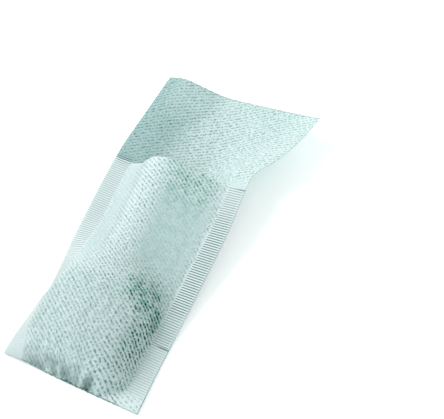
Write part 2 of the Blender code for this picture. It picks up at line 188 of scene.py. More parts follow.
# %% Front and back cross-sections
def front_points(v, left, right):
    """Points across the front, from the inner edge of one seam to that of the other."""
    (lx, lz), (rx, rz) = left, right
    rise = through([(0.0, FOLD_RISE), (0.04 * FRONT_LENGTH, 0.42 * POCKET_RISE),
                    (0.09 * FRONT_LENGTH, 0.76 * POCKET_RISE),
                    (0.15 * FRONT_LENGTH, 0.94 * POCKET_RISE), (0.26 * FRONT_LENGTH, POCKET_RISE),
                    (0.38 * FRONT_LENGTH, 0.99 * POCKET_RISE), (0.56 * FRONT_LENGTH, WAIST_RISE),
                    (0.80 * FRONT_LENGTH, 0.5 * (WAIST_RISE + MOUTH_RISE)),
                    (FRONT_LENGTH, MOUTH_RISE)], v)
    blend = ease(0.30 * FRONT_LENGTH, 0.66 * FRONT_LENGTH, v)
    shape = np.array(POCKET_SHAPE) * (1 - blend) + np.array(MOUTH_SHAPE) * blend
    return glide([(lx + (rx - lx) * q, lz + (rz - lz) * q + rise * h) for q, h in shape], 16)


def back_points(v, left, right):
    """Points across the back. Its middle rests on the table and its right side climbs."""
    (lx, lz), (rx, rz) = left, right
    free = ease(FRONT_LENGTH, BACK_LENGTH, v)
    reach = 0.36 + 0.26 * free
    q = np.linspace(0.0, 1.0, 161)
    climb = np.maximum((q - 1 + reach) / reach, 0.0) ** (1.9 - 0.4 * free)
    z = PAPER / 2 + (lz - PAPER / 2) * (1 - ease(0.0, 0.42, q)) + (rz - PAPER / 2) * climb
    z += FLAP_WAVE * free * ease(0.1, 0.5, q) * (1 - climb)
    return np.stack([lx + (rx - lx) * q, z], axis=1)


def leg_split(v):
    """Air between the two legs of the gusset, wider towards the bottom fold."""
    return LAYER + GUSSET_AIR * (1 - ease(0.0, GUSSET_DEPTH, v))


def seam_stack(v):
    """Distance between the back and the front layer in the seams."""
    four = 2 * LAYER + leg_split(min(v, GUSSET_DEPTH))
    return four + (LAYER - four) * ease(GUSSET_DEPTH, GUSSET_DEPTH + STEP_LENGTH, v)


NORMAL_REACH = 0.6


class Section:
    """One cross-section of a panel, read by how far across the strip a point is."""

    def __init__(self, panel, v):
        stack = seam_stack(v) if panel == "front" else 0.0
        outer_left, inner_left = raised(left_seam(v), stack)
        inner_right, outer_right = raised(right_seam(v), stack)
        points = (front_points if panel == "front" else back_points)(v, inner_left, inner_right)
        run = np.concatenate([[0.0], np.cumsum(np.hypot(*np.diff(points, axis=0).T))])
        self.u = np.concatenate([[-HALF], -INNER + 2 * INNER * run / run[-1], [HALF]])
        self.x = np.concatenate([[outer_left[0]], points[:, 0], [outer_right[0]]])
        self.z = np.concatenate([[outer_left[1]], points[:, 1], [outer_right[1]]])

    def at(self, u):
        """x and z of the places u across the strip."""
        return np.stack([np.interp(u, self.u, self.x), np.interp(u, self.u, self.z)], axis=-1)

    def normal(self, u):
        """Square to the panel. On a seam it is square to the seam."""
        on_seam = np.abs(u) > INNER - 1e-6
        low = np.where(on_seam, np.where(u < 0, -HALF, INNER), -INNER)
        high = np.where(on_seam, np.where(u < 0, -INNER, HALF), INNER)
        before, after = np.maximum(u - NORMAL_REACH, low), np.minimum(u + NORMAL_REACH, high)
        t = self.at(after) - self.at(before)
        t /= np.linalg.norm(t, axis=-1, keepdims=True)
        return np.stack([-t[..., 1], t[..., 0]], axis=-1)

    def lifted(self, u, height):
        """The same places, moved square to the panel."""
        return self.at(u) + self.normal(u) * np.asarray(height)[..., None]


sections = {}


def section(panel, v):
    """The cross-section of a panel at v, worked out once."""
    key = (panel, round(float(v), 4))
    if key not in sections:
        sections[key] = Section(panel, float(v))
    return sections[key]


def along(v):
    """Distance from the bottom fold, after the swelling has drawn the bag in."""
    return v - LENGTH_DRAWN_IN * np.minimum(v / FRONT_LENGTH, 1.0) ** 2


widest = [section("front", v).z.max() for v in (20.0, 60.0, FRONT_LENGTH)]
print("crest over the tea, waist and mouth: %.1f %.1f %.1f mm" % tuple(widest))

# %% [markdown]
# ## Relief of the paper
# Several things stand off the smooth form: the ribs that a crimping wheel pressed through all
# layers of the seams, lumps where the tea pushes the front outwards, a long fold beside the left
# seam, and the slow waves of a thin sheet. All are heights square to the paper, given by rules in u
# and v, which need no image and follow the folds. The ribs are the same in every layer of a seam,
# so the layers stay beside each other.


# %% Soft places and waves
def band(value, start, full, fade, end):
    """1 from full to fade, easing down to 0 at start and at end."""
    return ease(start, full, value) * (1 - ease(fade, end, value))


def hill(value, top, reach):
    """A soft hill of height 1 with its top at that place."""
    return np.exp(-((value - top) / reach) ** 2)


def wave(u, v, length, seed):
    """Slow random waves of about that length."""
    return np.array([noise.noise(Vector((a / length, v / length, seed))) for a in u])


# %% Ribs of the crimp
RIBS = 96
PITCH = FRONT_LENGTH / RIBS
RIB_HEIGHT = 0.12
SMOOTH_EAR, RIB_RUN_OUT = 9.0, 7.0


def crimped(u, v):
    """How deep the ribs are, from 0 to 1. They fade at the bottom corner and past the lip."""
    outer_edge = ease(HALF - 0.8, HALF, np.abs(u))
    side = ease(INNER + 0.1, INNER + 0.9, np.abs(u)) * (1 - 0.5 * outer_edge)
    run_out = np.where(u > 0, 1.0, RIB_RUN_OUT)
    return side * band(v, 2.0, SMOOTH_EAR, FRONT_LENGTH, FRONT_LENGTH + run_out)


def crimp(u, v):
    """The ribs as a wave from -1 to 1."""
    return np.cos(math.tau * v / PITCH) * crimped(u, v)


print("ribs per seam:", RIBS, "pitch %.3f mm" % PITCH)


# %% Lumps, folds and crumples
def filled(u, v):
    """Where the tea pushes the front outwards, from 0 to 1."""
    top = 44.0 + 9.0 * ease(0.0, 16.0, u)
    across = band(u, -INNER, -INNER + 5.0, INNER - 1.2, INNER + 0.1)
    return band(v, 2.0, 7.0, top - 4.0, top + 3.0) * across


def front_relief(u, v):
    """Heights on the front: lumps over the tea, a fold beside the left seam, and slow waves."""
    inside = 1 - ease(INNER - 4.0, INNER - 0.5, np.abs(u))
    leaning = u - 0.02 * v
    lumps = 0.32 * wave(u, v, 4.2, 3.1) + 0.22 * wave(u, v, 2.1, 7.7)
    fold = -0.45 * hill(leaning, -24.0, 2.4) * ease(46.0, 66.0, v)
    ridge = 0.30 * hill(leaning, -20.4, 2.0) * ease(50.0, 72.0, v)
    slow = 0.35 * wave(u, v, 17.0, 1.3) + 0.10 * wave(u, v, 6.5, 5.9)
    panel = lumps * filled(u, v) + fold + ridge + slow * (1 - 0.6 * filled(u, v))
    in_seam = ease(INNER, INNER + 1.5, np.abs(u))
    above = v - GUSSET_DEPTH
    return inside * ease(0.0, 6.0, v) * panel + 0.14 * in_seam * band(above, -9.0, -0.1, 0.0, 0.6)


def back_relief(u, v):
    """Heights on the back: the flap waves a little, and its left corner is crumpled."""
    free = ease(FRONT_LENGTH - 10, FRONT_LENGTH + 8, v)
    lift = (0.45 * (1 + wave(u, v, 21.0, 11.0)) + 0.12 * wave(u, v, 7.0, 14.0)) * free
    corner = hill(u, 3.0 - HALF, 4.0) * hill(v, BACK_LENGTH - 3.0, 4.0)
    crumpled = 1.6 * np.abs(wave(u, v, 2.6, 19.0)) * corner
    return lift * (1 - 0.7 * ease(INNER, HALF, np.abs(u))) + crumpled


middle = np.array([0.0])
print("relief over the tea and on the flap: %.2f %.2f mm"
      % (front_relief(middle, 25.0)[0], back_relief(middle, 140.0)[0]))

# %% [markdown]
# ## What shows on the paper
# Thin paper shows what lies behind it. Tea makes it dark, and each further layer makes it paler.
# Light could be traced through real layers for this, but then each dark place would hang on where
# the leaves behind it lie. Instead each point of the mesh carries a few numbers, such as how much
# tea lies behind it, and the finish reads them. Some numbers also carry painted shade and painted
# light. The tea has slid against the right seam. Places are given in flat millimetres, u across the
# strip and v along the front.

# %% Where the tea shows
TEA_TOP = 43.0
CROWN_U, CROWN_V = (8.0, 9.0), (23.0, 14.0)
SPILL_U, SPILL_V = (2.0, 9.0, 21.0, 27.0), (37.0, 42.0, 47.0, 60.0)
INNER_SHADE_U = (-6.0, 6.0, 20.0, 27.0)


def tea_and_shade_behind(u, v):
    """How much of the tea shows through the front, from 0 to 1.

    The heap shows a little, least on its crown. The flank at the right is dark and patchy. Some tea
    has spilled above it. Higher up, painted shade darkens the right half of the front, most near the
    mouth.
    """
    top = TEA_TOP + 2.5 * wave(u, v, 9.0, 21.0)
    crown = hill(u, *CROWN_U) * hill(v, *CROWN_V)
    heap = band(v, 1.5, 7.0, top - 4.0, top + 4.0) * ease(-INNER + 1, -INNER + 7.0, u)
    heap = heap * (1 + 0.7 * ease(34.0, 42.0, v)) * (1 - 0.85 * crown)
    patchy = 0.8 + 0.8 * wave(u, v, 4.5, 24.0)
    flank = patchy * ease(12.0, 23.0, u + 4 * wave(u, v, 7.0, 23.0))
    flank = flank * band(v, 8.0, 26.0, top - 1.0, top + 4.0)
    flank = flank * (1 - 0.6 * ease(23.5, 25.5, u) * (1 - ease(25.0, 32.0, v)))
    spill = band(u, *SPILL_U) * band(v, *SPILL_V)
    # Painted shade on the hollow front above the tea, carried by the same number as the tea.
    inner_shade = band(u, *INNER_SHADE_U) * (0.27 * ease(44.0, 60.0, v) + 0.22 * ease(84.0, 106.0, v))
    shown = np.maximum.reduce([0.20 * heap, 1.35 * flank, 0.9 * spill, inner_shade])
    return np.clip(shown, 0, 1) * (1 - ease(INNER - 0.7, INNER + 0.1, u))


crown_and_flank = tea_and_shade_behind(np.array([CROWN_U[0], 24.0]), 30.0)
print("tea behind the crown and the flank: %.2f %.2f" % tuple(crown_and_flank))

# %% Smooth places, and painted light and shade at corners and creases
SMOOTH_U, SMOOTH_V = (-4.0, 4.0, 25.0, 29.0), (54.0, 66.0, 92.0, 106.0)


def drawn_smooth(u, v):
    """Where the front is stretched smooth, on its right half above the tea."""
    return band(u, *SMOOTH_U) * band(v, *SMOOTH_V)


def left_fold(u, v):
    """The soft fold beside the left seam, above the tea, which gets a little painted light."""
    return hill(u, -25.5, 4.2) * ease(44.0, 56.0, v)


def lit_corner(u, v):
    """The corner of the pocket at the bottom right, which holds no tea and gets painted light."""
    return ease(18.0, 22.0, u) * (1 - ease(8.0, 14.0, v))


def painted_crease_shade(u, v):
    """Painted shade on the front, in fine creases, along the bottom fold and beside both seams."""
    edge_of_gusset = 0.9 * hill(v, GUSSET_DEPTH + 0.2, 0.3) * ease(INNER + 1.5, INNER + 5, u)
    end_of_lip = 0.6 * hill(v, FRONT_LENGTH - 0.4, 0.3) * ease(INNER + 2, HALF, u)
    patches = np.clip(0.55 + 1.4 * wave(u, v, 4.0, 27.0), 0.0, 1.0)
    bottom = 0.75 * patches * (1 - ease(1.0, 6.5, v)) * band(u, -INNER, -INNER + 5, 12.0, 24.0)
    left = 0.20 * (1 - ease(12.0, 30.0, v)) + 0.26 * band(v, 16.0, 30.0, 38.0, 54.0)
    left = left * (1 - ease(-INNER - 1, -INNER + 5, u))
    beside_left = (0.14 * hill(u, -19.0, 3.4) * ease(54.0, 64.0, v)
                   + 0.13 * hill(u, -23.0, 4.5) * band(v, 6.0, 14.0, 30.0, 40.0))
    nook = 0.45 * hill(u, 26.0, 1.6) * hill(v, 37.0, 4.0)
    return edge_of_gusset + end_of_lip + bottom + left + beside_left + nook


print("crease at the edge of the gusset: %.2f" % painted_crease_shade(np.array([HALF]), GUSSET_DEPTH)[0])


# %% How crisp the lattice is
def embossing(u, v):
    """How crisp the lattice is. It is faint where the front is smooth and in its left fold."""
    in_seam = ease(INNER + 0.1, INNER + 0.9, np.abs(u)) * ease(SMOOTH_EAR - 5, SMOOTH_EAR, v)
    left_ear = (1 - ease(-INNER - 1.0, -INNER + 3.0, u)) * (1 - ease(8.0, 20.0, v))
    crest = 0.3 * band(u, -18.0, -12.0, 0.0, 5.0) * ease(40.0, 46.0, v)
    taut = 0.35 * ease(5.0, 12.0, u) + 0.45 * ease(16.0, 22.0, u)
    taut = taut * (1 - ease(34.0, 46.0, v)) * (1 - ease(25.0, 30.0, u) * (1 - ease(8.0, 14.0, v)))
    smooth = np.maximum.reduce([0.78 * drawn_smooth(u, v), 0.9 * left_fold(u, v), 0.9 * left_ear])
    return (1 - smooth) * (1 + crest + taut) * (1 - in_seam)


PLACES = np.linspace(-HALF, HALF, 153)
STRETCH = 0.17 - 0.47 * ease(2.0, 14.0, PLACES)
SHIFT = np.cumsum(STRETCH) * (PLACES[1] - PLACES[0])


def gathered(u, v):
    """Shift of the lattice across the strip: together over the tea, apart on the flank."""
    shift = np.interp(u, PLACES, SHIFT) - np.interp(CROWN_U[0], PLACES, SHIFT)
    return shift * (1 - ease(32.0, 72.0, v))


print("widest shift of the lattice: %.1f mm" % np.abs(gathered(PLACES, 0.0)).max())


# %% Painted shade in the crimp's valleys, and layers of paper with painted light
def valley_shade_depth(u, v):
    """Depth of the shade painted into the valleys between the ribs, after the light each seam catches.
    """
    right = 0.30 + 0.25 * ease(31.0, 32.0, v) + 0.4 * ease(44.0, 52.0, v)
    right = right * (1 - 0.45 * ease(84.0, 108.0, v))
    left = 0.08 + 0.42 * ease(40.0, 50.0, v) - 0.12 * ease(60.0, 76.0, v)
    left = left + 0.42 * ease(FRONT_LENGTH - 4, FRONT_LENGTH + 1, v)
    return np.where(u > 0, right, left)


def layers_and_light(u, v, front):
    """Layers of paper that look to lie together.

    There is 1 in the flap, 2 in the panels, 3 in a seam and 4 where the seam holds the gusset. Some
    places are painted paler than that. The flap's middle is paler partly where it lies on the white
    table and partly as painted light. Its upper and right parts, the lip and two soft places of the
    front get painted light.
    """
    if v > FRONT_LENGTH + 0.5:
        # On the flap: painted light on its upper part and right strip, and a paler middle, partly
        # painted light.
        upper = 0.55 * ease(132.0, 156.0, v) * ease(-36.0, -26.0, u)
        return 1 + np.maximum(0.9 * ease(-28.0, -2.0, u), upper) + 0.6 * ease(22.0, 34.0, u)
    in_seam = ease(INNER - 0.5, INNER + 0.5, np.abs(u))
    lip = ease(FRONT_LENGTH - 1.5, FRONT_LENGTH - 0.5, v)
    # Painted light on the front: its left fold, the lip and the bottom right corner.
    lit_places = 0.1 * left_fold(u, v) + lip + 0.5 * lit_corner(u, v) if front else 0.0
    return 2 + np.maximum(in_seam * (2 - ease(GUSSET_DEPTH - 1, GUSSET_DEPTH + 1, v)), lit_places)


print("layers in the seam, below and above the gusset's edge:",
      *(round(float(layers_and_light(np.array([HALF]), v, True)[0])) for v in (20.0, 60.0)))

# %% [markdown]
# ## Folding the strip
# The strip's position s runs from the free edge of the flap, down the back, up and down the two
# legs of the gusset, and up the front to the lip. Close to a fold a point lies between the two
# panels that meet there, which gives a tight round turn. A simulated cloth could be folded too, but
# each bend of this stiff sheet is fitted to the photo, so every row is placed by a rule.

# %% Place a row of the strip
TURN = 0.40
FOLD_BACK = BACK_LENGTH
FOLD_INSIDE = FOLD_BACK + GUSSET_DEPTH
FOLD_FRONT = FOLD_INSIDE + GUSSET_DEPTH
MIDDLE_X = (left_seam(BACK_LENGTH)[0][0] + right_seam(BACK_LENGTH)[1][0]) / 2
BOTTOM_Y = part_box("filter_bag")[0].y / MM
SLOTS = [(-1.0, 2.8, 0.80), (9.5, 2.0, 1.20)]
CLOSING = 5.0


def open_slots(u):
    """Where the bottom fold gapes a little: the place, reach and size of each slot."""
    return sum(size * hill(u, place, reach) for place, reach, size in SLOTS)


def pressed_down(u, v):
    """How closely the front follows the back near the bottom fold. Two small slots stay open."""
    right_ear = 1 - ease(0.7, 1.4, v / 9 + np.maximum(INNER - u, 0) / 12)
    left_ear = 1 - ease(0.7, 1.4, v / 6 + np.maximum(u + INNER, 0) / 8)
    fold = (1 - ease(0.0, CLOSING, v)) * (0.86 - open_slots(u))
    return np.maximum(fold, 0.9 * np.maximum(right_ear, left_ear))


def panel_row(panel, u, v):
    """x and z of one row of a panel, its ribs included."""
    back, front = section("back", v), section("front", v)
    ribs = RIB_HEIGHT * crimp(u, v)
    if panel == "back":
        return back.lifted(u, ribs + back_relief(u, v))
    if panel == "front":
        low = back.lifted(u, seam_stack(v) + ribs)
        high = front.lifted(u, ribs + front_relief(u, v))
        return high + (low - high) * pressed_down(u, v)[:, None]
    if panel == "gusset_back":
        return back.lifted(u, LAYER + ribs)
    lip = section("back", 0.0)
    gape = panel_row("front", u, 0.0) - lip.lifted(u, seam_stack(0.0) + 0 * u)
    return back.lifted(u, LAYER + leg_split(v) + ribs) + gape * (1 - ease(0.0, GUSSET_DEPTH, v))


def strip_row(s, u):
    """Points in metres of the strip's row at s, for all places u across it."""
    for fold, before, after in ((FOLD_BACK, "back", "gusset_back"),
                                (FOLD_INSIDE, "gusset_back", "gusset_front"),
                                (FOLD_FRONT, "gusset_front", "front")):
        off = s - fold
        if off < TURN or fold == FOLD_FRONT:
            break
    v = GUSSET_DEPTH - abs(off) if fold == FOLD_INSIDE else abs(off)
    share = ease(-TURN, TURN, off)
    xz = np.zeros((len(u), 2))
    if share < 1:
        xz += (1 - share) * panel_row(before, u, v)
    if share > 0:
        xz += share * panel_row(after, u, v)
    y = np.full(len(u), along(v) + BOTTOM_Y)
    return np.stack([xz[:, 0] - MIDDLE_X, y, xz[:, 1]], axis=1) * MM


print("folds at", FOLD_BACK, FOLD_INSIDE, FOLD_FRONT, "mm along the strip")

# %% [markdown]
# ## The strip as a mesh
# The strip starts as a flat grid. Its rows are a rib apart and its columns are finer in the panel
# than in the seams. The seams then get their edges cut in four, so a rib has a crest, a valley and
# two flanks, while the panels stay coarse. The flat positions are kept as the UV map before every
# row is moved to where it lies, so a pattern drawn on the UV map follows the paper through folds.
# A Solidify modifier then gives the sheet its thickness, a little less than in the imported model.

# %% Rows and columns of the flat grid
steps = PITCH * np.arange(1, round(BACK_LENGTH / PITCH))
gusset_steps = steps[steps < GUSSET_DEPTH - TURN]
near_fold = np.array([-0.3, 0.0, 0.3])
rows = np.concatenate([
    [0.0], FOLD_BACK - steps[::-1], FOLD_BACK + near_fold, FOLD_BACK + gusset_steps,
    FOLD_INSIDE + near_fold, FOLD_FRONT - gusset_steps[::-1], FOLD_FRONT + near_fold,
    FOLD_FRONT + steps[steps < FRONT_LENGTH + 0.1]])
seam_columns = np.array([0.0, 0.35, 1.6, 3.5, 5.6, 7.6])
panel_columns = np.linspace(-INNER, INNER, 65)
columns = np.concatenate([seam_columns - HALF, panel_columns, HALF - seam_columns[::-1]])
print("rows:", len(rows), "columns:", len(columns))

# %% Cut the flat sheet
bm = bmesh.new()
bmesh.ops.create_grid(bm, x_segments=len(columns) - 1, y_segments=len(rows) - 1, size=0.5)
for vertex in bm.verts:
    column = round((vertex.co.x + 0.5) * (len(columns) - 1))
    row = round((vertex.co.y + 0.5) * (len(rows) - 1))
    vertex.co = (columns[column], rows[row], 0.0)
seam_edges = [edge for edge in bm.edges
              if abs(edge.verts[0].co.x - edge.verts[1].co.x) < 1e-4
              and abs(edge.verts[0].co.x) > INNER - 1e-3]
bmesh.ops.subdivide_edges(bm, edges=seam_edges, cuts=3, use_grid_fill=True)
flat_map = bm.loops.layers.uv.new("strip")
for face in bm.faces:
    face.smooth = True
    for loop in face.loops:
        loop[flat_map].uv = (loop.vert.co.x / SHEET_LENGTH + 0.5, loop.vert.co.y / SHEET_LENGTH)
print("points of the flat sheet:", len(bm.verts))

# %% Numbers that each point carries
NUMBERS = ("rib", "tea", "layers", "embossing", "valley_shade", "crease_shade", "gathered")
BACK_CRISP, GUSSET_TEA_AND_SHADE, SLOT_SHADE, SLOT_DEPTH = 1.25, 0.9, 0.9, 8.0


def numbers_at(s, u):
    """What the finish reads, for the strip's row at s and all places u across it."""
    v = abs(s - FOLD_BACK) if s < FOLD_BACK else abs(s - FOLD_FRONT)
    found = {"rib": crimp(u, v), "valley_shade": crimped(u, v) * valley_shade_depth(u, v),
             "layers": layers_and_light(u, v, s > FOLD_FRONT)}
    if s > FOLD_FRONT:
        found |= {"tea": tea_and_shade_behind(u, v), "embossing": embossing(u, v),
                  "crease_shade": painted_crease_shade(u, v), "gathered": gathered(u, v)}
    else:
        # The gusset's legs are darkened partly for the tea on them and partly as painted shade of the
        # hollow inside; painted shade also lies under the open slots.
        gusset = s > FOLD_BACK
        ribbed = 1 - ease(FRONT_LENGTH, FRONT_LENGTH + 9.0, v)
        ribbed = ribbed * ease(INNER - 0.5, INNER + 0.5, np.abs(u))
        found |= {"tea": gusset * GUSSET_TEA_AND_SHADE * (1 - ease(INNER - 2, INNER, np.abs(u))),
                  "crease_shade": gusset * (v < SLOT_DEPTH) * SLOT_SHADE * open_slots(u),
                  "embossing": BACK_CRISP * (1 - ribbed), "gathered": 0 * u}
    return found


print("numbers per point:", len(NUMBERS))


# %% Fold the sheet into the bag
def new_piece(name, bm):
    """An object with the mesh that bm holds. bm is freed."""
    mesh = bpy.data.meshes.new(name)
    bm.to_mesh(mesh)
    bm.free()
    piece = bpy.data.objects.new(name, mesh)
    bpy.context.scene.collection.objects.link(piece)
    return piece


number_layers = {name: bm.verts.layers.float.new(name) for name in NUMBERS}
points_of_row = {}
for vertex in bm.verts:
    points_of_row.setdefault(round(vertex.co.y, 4), []).append(vertex)
for s, flat_row in points_of_row.items():
    u = np.array([vertex.co.x for vertex in flat_row])
    found = numbers_at(s, u)
    for i, (vertex, point) in enumerate(zip(flat_row, strip_row(s, u))):
        vertex.co = point
        for name, layer in number_layers.items():
            vertex[layer] = found[name][i]
paper_bag = new_piece("paper_bag", bm)
THINNER = 0.8
thickness = paper_bag.modifiers.new("thickness", "SOLIDIFY")
thickness.thickness = THINNER * PAPER * MM
thickness.offset = 0.0
print("faces before thickness:", len(paper_bag.data.polygons))

# %% [markdown]
# ## Shader arithmetic
# A pattern is easiest to read as a formula. The small class below wraps a shader socket, so that
# plain Python arithmetic on it adds the Math nodes. A second class holds one material and adds any
# other node, with its settings made before its sockets are filled.


# %% Node helpers
class Amount:
    """A number that varies over a surface."""

    def __init__(self, finish, socket):
        self.finish, self.socket = finish, socket

    def math(self, operation, *values):
        """The result of one Math node."""
        node = self.finish.node("ShaderNodeMath", {"operation": operation}, dict(enumerate(values)))
        return Amount(self.finish, node.outputs[0])

    def __add__(self, other):
        return self.math("ADD", self, other)

    def __sub__(self, other):
        return self.math("SUBTRACT", self, other)

    def __rsub__(self, other):
        return self.math("SUBTRACT", other, self)

    def __mul__(self, other):
        return self.math("MULTIPLY", self, other)

    __radd__, __rmul__ = __add__, __mul__

    def cosine(self):
        """The cosine of this number, taken as an angle."""
        return self.math("COSINE", self)

    def between(self, low, high, to_low=0.0, to_high=1.0):
        """A smooth step of this number from low to high."""
        node = self.finish.node("ShaderNodeMapRange", {"interpolation_type": "SMOOTHSTEP"},
                                {"Value": self, "From Min": low, "From Max": high,
                                 "To Min": to_low, "To Max": to_high})
        return Amount(self.finish, node.outputs[0])


class Finish:
    """The nodes of one material or of the world, added one by one."""

    def __init__(self, block, shader="Principled BSDF", output="Material Output"):
        block.use_nodes = True
        self.block, self.tree = block, block.node_tree
        self.shader, self.output = self.tree.nodes[shader], self.tree.nodes[output]

    def fill(self, socket, value):
        """Link a varying value to a socket, or set a plain one on it."""
        if isinstance(value, Amount):
            value = value.socket
        if isinstance(value, bpy.types.NodeSocket):
            self.tree.links.new(value, socket)
        else:
            socket.default_value = value

    def node(self, kind, settings, sockets):
        """Any node: its type, its settings, then what its sockets get."""
        node = self.tree.nodes.new(kind)
        for key, value in settings.items():
            setattr(node, key, value)
        for key, value in sockets.items():
            self.fill(node.inputs[key], value)
        return node

    def set(self, **sockets):
        """Fill sockets of the shader, with an underscore for each space in their names."""
        for key, value in sockets.items():
            self.fill(self.shader.inputs[key.replace("_", " ")], value)

    def amount(self, name):
        """A number kept on the mesh's points."""
        node = self.node("ShaderNodeAttribute", {"attribute_name": name}, {})
        return Amount(self, node.outputs["Fac"])

    def noise(self, vector, scale, detail):
        """Soft random grain around 0.5."""
        node = self.node("ShaderNodeTexNoise", {},
                         {"Vector": vector, "Scale": scale, "Detail": detail})
        return Amount(self, node.outputs["Fac"])

    def mix(self, factor, a, b, blend="MIX"):
        """Two colours mixed. Sockets 6 and 7 of this node are its colours, and output 2 the mix."""
        node = self.node("ShaderNodeMix", {"data_type": "RGBA", "blend_type": blend},
                         {0: factor, 6: a, 7: b})
        return node.outputs[2]

    def looked_at(self):
        """1 for the camera, a mirror or glass, and 0 for the light that falls on things."""
        ray = self.node("ShaderNodeLightPath", {}, {})
        return sum(Amount(self, ray.outputs["Is %s Ray" % kind])
                   for kind in ("Camera", "Glossy", "Transmission"))


# %% [markdown]
# ## Filter paper
# The paper is thin, matt and a little see-through, and its tint is a pale mint. A roller has
# embossed it with a lattice of small pits, each half a step from its neighbours. The paper is
# thinner in a pit, so what lies behind shows there first, and over the tea each pit is dark. An
# image could show all this, but a formula on the flat sheet stays sharp when it is seen from near.

# %% Patterns on the paper
PIT_ACROSS, PIT_ALONG = 3.15, 2.06
paper = Finish(bpy.data.materials.new("filter_paper"))
strip = paper.node("ShaderNodeUVMap", {"uv_map": "strip"}, {}).outputs[0]
parts = paper.node("ShaderNodeSeparateXYZ", {}, {0: strip})
across = Amount(paper, parts.outputs[0]) * SHEET_LENGTH - SHEET_LENGTH / 2
down = Amount(paper, parts.outputs[1]) * SHEET_LENGTH
rib, tea, layers = paper.amount("rib"), paper.amount("tea"), paper.amount("layers")
crisp = paper.amount("embossing")
fibres = paper.noise(strip, 290.0, 5.0)
grain = paper.noise(strip, 900.0, 2.0)
uneven = paper.noise(strip, 190.0, 1.0)
clumps = paper.noise(strip, 95.0, 2.0).between(0.42, 0.60)
wander = paper.noise(strip, 150.0, 2.0) * 3.6 - 1.8
turns = (across + wander + paper.amount("gathered")) * (math.tau / PIT_ACROSS)
falls = (down - wander) * (math.tau / PIT_ALONG)
lattice = (turns + falls).cosine() * 0.62 + (falls - turns).cosine() * 0.36
lattice = lattice + (turns * 2).cosine() * 0.27
worn = lattice + (grain * 1.5 + uneven * 1.1 - 1.3)
pits = worn.between(0.50, 1.10) * crisp
cells = worn.between(-0.8, 0.0, 1.0, 0.0) * crisp
leaf_shade = tea * (clumps * 0.6 + 0.4)
# Painted shade in the valleys between the ribs and in creases.
shade_in_valleys_and_creases = rib.between(-0.75, 0.05, 1.3, 0.0) * paper.amount("valley_shade") + paper.amount("crease_shade")
print("pits per square centimetre: %.0f" % (2 * 10 / PIT_ACROSS * 10 / PIT_ALONG))

# %% Colours of the paper
THIN_BLOTCH, THICK_BLOTCH = (0.530, 0.675, 0.665, 1), (0.860, 0.920, 0.950, 1)
WHITE, SINGLE_LAYER, TEA_VEIL = (0.91, 0.96, 0.97, 1), (0.61, 0.71, 0.71, 1), (0.30, 0.62, 0.50, 1)
# The last colour on the next line is that of the painted shade in rib valleys and creases.
PIT, PIT_OVER_TEA, PAINTED_SHADE = (0.20, 0.37, 0.33, 1), (0.05, 0.14, 0.10, 1), (0.07, 0.16, 0.14, 1)
THROUGH_PAPER, SHARE_THROUGH = (0.42, 0.76, 0.66, 1), 0.30
blotches = (fibres * 0.65 + grain * 0.35).between(0.40, 0.60) * (crisp * 0.6 + 0.4)
light_paper = paper.mix(blotches + (0.3 - crisp * 0.3), THIN_BLOTCH, THICK_BLOTCH)
# Lattice cells and extra layers whiten the paper, and the rib crests get a painted highlight.
whiter_and_crest_highlight = cells * 0.6 + rib.between(0.1, 1.0, 0.0, 0.45) + layers.between(2.0, 3.0, 0.0, 0.8)
white_paper = paper.mix(whiter_and_crest_highlight, light_paper, WHITE)
# Fewer layers look darker. On the flap this darkness also carries painted light and shade.
white_paper = paper.mix(layers.between(1.0, 2.0, 1.0, 0.0), white_paper, SINGLE_LAYER, "MULTIPLY")
veiled = paper.mix(leaf_shade * (1.0 - cells * 0.8), white_paper, TEA_VEIL, "MULTIPLY")
pitted = paper.mix(pits * (tea * 0.4 + 0.58), veiled, PIT, "MULTIPLY")
pitted = paper.mix(pits * leaf_shade.between(0.10, 0.80), pitted, PIT_OVER_TEA, "MULTIPLY")
colour = paper.mix(shade_in_valleys_and_creases, pitted, PAINTED_SHADE, "MULTIPLY")
height = fibres * 0.35 + grain * 0.2 - pits + cells * 0.5
bump = paper.node("ShaderNodeBump", {}, {"Strength": 0.7, "Distance": 0.00007, "Height": height})
paper.set(Base_Color=colour, Roughness=0.86, Specular_IOR_Level=0.25, Normal=bump.outputs[0])
glow = paper.node("ShaderNodeBsdfTranslucent", {}, {"Color": THROUGH_PAPER})
both = paper.node("ShaderNodeMixShader", {},
                  {0: SHARE_THROUGH, 1: paper.shader.outputs[0], 2: glow.outputs[0]})
paper.fill(paper.output.inputs["Surface"], both.outputs[0])
paper_bag.data.materials.append(paper.block)
print("paper nodes:", len(paper.tree.nodes))

# %% [markdown]
# ## The tea
# Seen through the mouth, the tea is a heap of dark, curled bits. Here it is a rough mound with bits
# on it, each a small stretched and bent ball with few faces. Loose bits could be dropped into the
# bag, but thin paper is easily passed through. So the heap is built in the bag's own coordinates: u,
# v and a share of the room between the gusset and the front. Each bit then stays inside.

# %% Room for the tea
TEA_U, TEA_V = (-24.5, 25.0), (5.0, 49.0)
CLEAR, WIDEST_MARGIN, OVER_BACK = 0.45, 0.45, 0.3
room_u = np.arange(-29.0, 29.1, 0.5)
room_v = np.arange(0.5, 56.1, 0.5)


def pocket_floor(v):
    """What the tea lies on across one row: the gusset, and beyond it the back."""
    if v <= GUSSET_DEPTH:
        return panel_row("gusset_front", room_u, v)
    return section("back", v).lifted(room_u, OVER_BACK + 0 * room_u)


floor = np.array([pocket_floor(v) for v in room_v])
ceiling = np.array([panel_row("front", room_u, v) for v in room_v])
room = np.linalg.norm(ceiling - floor, axis=2)
print("highest room for tea: %.1f mm" % room.max())


